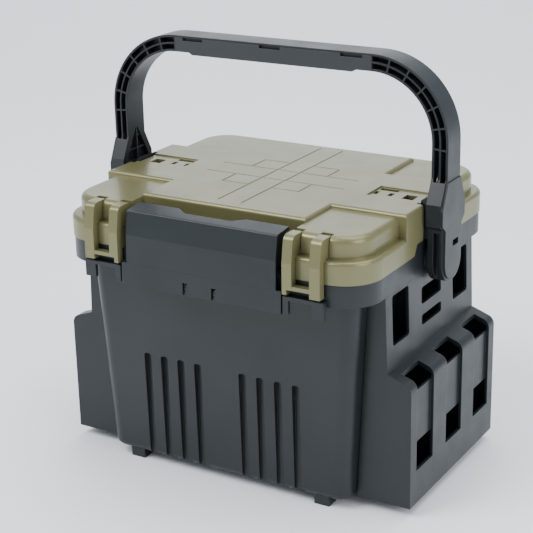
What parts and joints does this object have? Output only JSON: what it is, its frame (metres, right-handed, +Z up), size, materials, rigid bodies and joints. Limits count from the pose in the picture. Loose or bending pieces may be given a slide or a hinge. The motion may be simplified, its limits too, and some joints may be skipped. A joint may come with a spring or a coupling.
{
  "type": "fishing seat box",
  "caption": "Hard fishing box to sit on: hinged lid with side and front latches, swing-over carry handle, ribbed tub and open side pockets for tools.",
  "frame": {"origin": "on the floor under the middle of the whole box", "axes": "+Z up, front latch towards -Y, +X to the right seen from the front"},
  "size_m": [0.313, 0.2478, 0.34],
  "materials": {
    "charcoal": "moulded, fine grain, slight sheen",
    "olive": "pearl khaki, semi-gloss",
    "grip": "moulded, matt",
    "tray_grey": "moulded, matt",
    "steel": "bright"
  },
  "bodies": {
    "tub": {"tub": "charcoal", "side_frame_right": "charcoal", "side_frame_left": "charcoal", "latch_bracket_right": "charcoal", "latch_bracket_left": "charcoal", "hinge_pin_right": "steel", "hinge_pin_left": "steel", "front_latch_pin_right": "steel", "front_latch_pin_left": "steel", "handle_axle_right": "charcoal", "handle_axle_left": "charcoal", "frame_screws_right": "steel", "frame_screws_left": "steel"},
    "tray": {"tray": "tray_grey"},
    "lid": {"lid": "olive", "latch_pin_right": "steel", "latch_pin_left": "steel"},
    "latch_right": {"latch_right": "olive"},
    "latch_left": {"latch_left": "olive"},
    "front_latch": {"front_latch": "charcoal"},
    "handle": {"handle_frame": "charcoal", "grip_cover": "grip"}
  },
  "joints": [
    {"name": "lid_hinge", "type": "hinge", "parent": "tub", "child": "lid", "pos_m": [0, 0.12035, 0.1956], "axis": [-1, 0, 0], "range_deg": [0, 24]},
    {"name": "handle_swing", "type": "hinge", "parent": "tub", "child": "handle", "pos_m": [0, -0.00025, 0.184], "axis": [-1, 0, 0], "range_deg": [-90, 90]},
    {"name": "latch_swing_right", "type": "hinge", "parent": "lid", "child": "latch_right", "pos_m": [0.08855, -0.10725, 0.2217], "axis": [-1, 0, 0], "range_deg": [0, 80]},
    {"name": "latch_swing_left", "type": "hinge", "parent": "lid", "child": "latch_left", "pos_m": [-0.08855, -0.10725, 0.2217], "axis": [-1, 0, 0], "range_deg": [0, 80]},
    {"name": "front_latch_swing", "type": "hinge", "parent": "tub", "child": "front_latch", "pos_m": [0, -0.11625, 0.1715], "axis": [1, 0, 0], "range_deg": [0, 60]},
    {"name": "tray_lift", "type": "slide", "parent": "tub", "child": "tray", "axis": [0, 0, 1], "range_m": [0, 0.016]}
  ]
}
